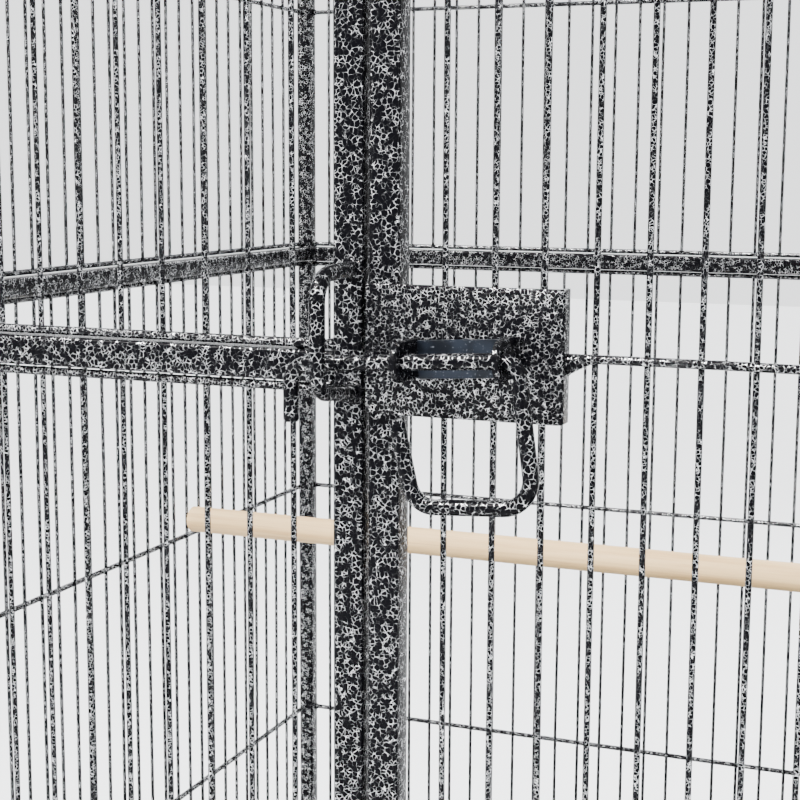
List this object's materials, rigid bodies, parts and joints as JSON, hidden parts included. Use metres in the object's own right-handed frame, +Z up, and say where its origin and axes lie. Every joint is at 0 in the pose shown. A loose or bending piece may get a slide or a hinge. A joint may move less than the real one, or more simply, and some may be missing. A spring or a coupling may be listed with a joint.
{
  "type": "bird cage on stand",
  "caption": "Tall wire flight cage with a hinged front door and bent-rod bolt latch, slide-out tray and grate, feeder gates, perches and a rolling stand with a shelf.",
  "frame": {"origin": "on the floor, under the centre of the object's bounding box", "axes": "+Z up, the front of the cage with its door faces -Y, +X to the right seen from the front"},
  "size_m": [0.9408, 0.654, 1.5254],
  "materials": {
    "hammertone": "black and silver hammertone powder coat",
    "bare_steel": "zinc plated steel",
    "bracket_paint": "thin dark powder coat",
    "wood": "bare light dowel",
    "caster_plastic": "black moulded plastic",
    "cup_plastic": "glossy moulded plastic"
  },
  "bodies": {
    "root": {"left_side_panel": "hammertone", "right_side_panel": "hammertone", "back_panel": "hammertone", "front_left_panel": "hammertone", "front_right_panel": "hammertone", "front_sill_panel": "hammertone", "front_header_panel": "hammertone", "roof_panel": "hammertone", "base_front_rail": "hammertone", "tray_runner_left": "hammertone", "tray_runner_right": "hammertone", "keeper_staple": "hammertone", "hinge_lower_post_knuckle": "hammertone", "hinge_lower_pin": "bare_steel", "hinge_upper_post_knuckle": "hammertone", "hinge_upper_pin": "bare_steel", "feeder_cup_left": "cup_plastic", "feeder_cup_right": "cup_plastic", "perch_lower": "wood", "perch_upper": "wood", "stand_leg_front_left": "hammertone", "stand_leg_front_right": "hammertone", "stand_leg_back_left": "hammertone", "stand_leg_back_right": "hammertone", "stand_rail_front": "hammertone", "stand_rail_back": "hammertone", "stand_rail_left": "hammertone", "stand_rail_right": "hammertone", "storage_shelf": "hammertone", "caster_socket_front_left": "caster_plastic", "caster_socket_front_right": "caster_plastic", "caster_socket_back_left": "caster_plastic", "caster_socket_back_right": "caster_plastic"},
    "door": {"door_panel": "hammertone", "latch_plate": "hammertone", "latch_bracket": "bracket_paint", "hinge_lower_door_knuckle": "hammertone", "hinge_upper_door_knuckle": "hammertone"},
    "bolt": {"latch_bolt": "hammertone"},
    "tray": {"slide_out_tray": "hammertone"},
    "grate": {"slide_out_grate": "hammertone"},
    "feeder_gate_left": {"feeder_door_left": "hammertone"},
    "feeder_gate_right": {"feeder_door_right": "hammertone"},
    "caster_front_left": {"caster_fork_front_left": "bare_steel", "caster_axle_front_left": "bare_steel"},
    "wheel_front_left": {"caster_wheel_front_left": "caster_plastic"},
    "pedal_front_left": {"brake_pedal_front_left": "caster_plastic"},
    "caster_front_right": {"caster_fork_front_right": "bare_steel", "caster_axle_front_right": "bare_steel"},
    "wheel_front_right": {"caster_wheel_front_right": "caster_plastic"},
    "pedal_front_right": {"brake_pedal_front_right": "caster_plastic"},
    "caster_back_left": {"caster_fork_back_left": "bare_steel", "caster_axle_back_left": "bare_steel"},
    "wheel_back_left": {"caster_wheel_back_left": "caster_plastic"},
    "caster_back_right": {"caster_fork_back_right": "bare_steel", "caster_axle_back_right": "bare_steel"},
    "wheel_back_right": {"caster_wheel_back_right": "caster_plastic"}
  },
  "joints": [
    {"name": "door_hinge", "type": "hinge", "parent": "root", "child": "door", "pos_m": [0.1726, -0.2957, 1.02], "axis": [0, 0, 1], "range_deg": [0, 165]},
    {"name": "bolt_turn", "type": "hinge", "parent": "door", "child": "bolt", "pos_m": [-0.18325, -0.308, 1.0231], "axis": [-0.9982, 0, -0.0592], "range_deg": [0, 165]},
    {"name": "tray_slide", "type": "slide", "parent": "root", "child": "tray", "axis": [0, -1, 0], "range_m": [0, 0.5]},
    {"name": "grate_slide", "type": "slide", "parent": "root", "child": "grate", "axis": [0, -1, 0], "range_m": [0, 0.5]},
    {"name": "feeder_left_lift", "type": "slide", "parent": "root", "child": "feeder_gate_left", "axis": [0, 0, 1], "range_m": [0, 0.085]},
    {"name": "feeder_right_lift", "type": "slide", "parent": "root", "child": "feeder_gate_right", "axis": [0, 0, 1], "range_m": [0, 0.085]},
    {"name": "caster_swivel_front_left", "type": "hinge", "parent": "root", "child": "caster_front_left", "pos_m": [-0.457, -0.282, 0.0665], "axis": [0, 0, 1], "continuous": true},
    {"name": "wheel_spin_front_left", "type": "hinge", "parent": "caster_front_left", "child": "wheel_front_left", "pos_m": [-0.457, -0.302, 0.025], "axis": [1, 0, 0], "continuous": true},
    {"name": "brake_front_left", "type": "hinge", "parent": "caster_front_left", "child": "pedal_front_left", "pos_m": [-0.457, -0.3102, 0.059], "axis": [1, 0, 0], "range_deg": [0, 22]},
    {"name": "caster_swivel_front_right", "type": "hinge", "parent": "root", "child": "caster_front_right", "pos_m": [0.457, -0.282, 0.0665], "axis": [0, 0, 1], "continuous": true},
    {"name": "wheel_spin_front_right", "type": "hinge", "parent": "caster_front_right", "child": "wheel_front_right", "pos_m": [0.457, -0.302, 0.025], "axis": [1, 0, 0], "continuous": true},
    {"name": "brake_front_right", "type": "hinge", "parent": "caster_front_right", "child": "pedal_front_right", "pos_m": [0.457, -0.3102, 0.059], "axis": [1, 0, 0], "range_deg": [0, 22]},
    {"name": "caster_swivel_back_left", "type": "hinge", "parent": "root", "child": "caster_back_left", "pos_m": [-0.457, 0.282, 0.0665], "axis": [0, 0, 1], "continuous": true},
    {"name": "wheel_spin_back_left", "type": "hinge", "parent": "caster_back_left", "child": "wheel_back_left", "pos_m": [-0.457, 0.302, 0.025], "axis": [1, 0, 0], "continuous": true},
    {"name": "caster_swivel_back_right", "type": "hinge", "parent": "root", "child": "caster_back_right", "pos_m": [0.457, 0.282, 0.0665], "axis": [0, 0, 1], "continuous": true},
    {"name": "wheel_spin_back_right", "type": "hinge", "parent": "caster_back_right", "child": "wheel_back_right", "pos_m": [0.457, 0.302, 0.025], "axis": [1, 0, 0], "continuous": true}
  ]
}
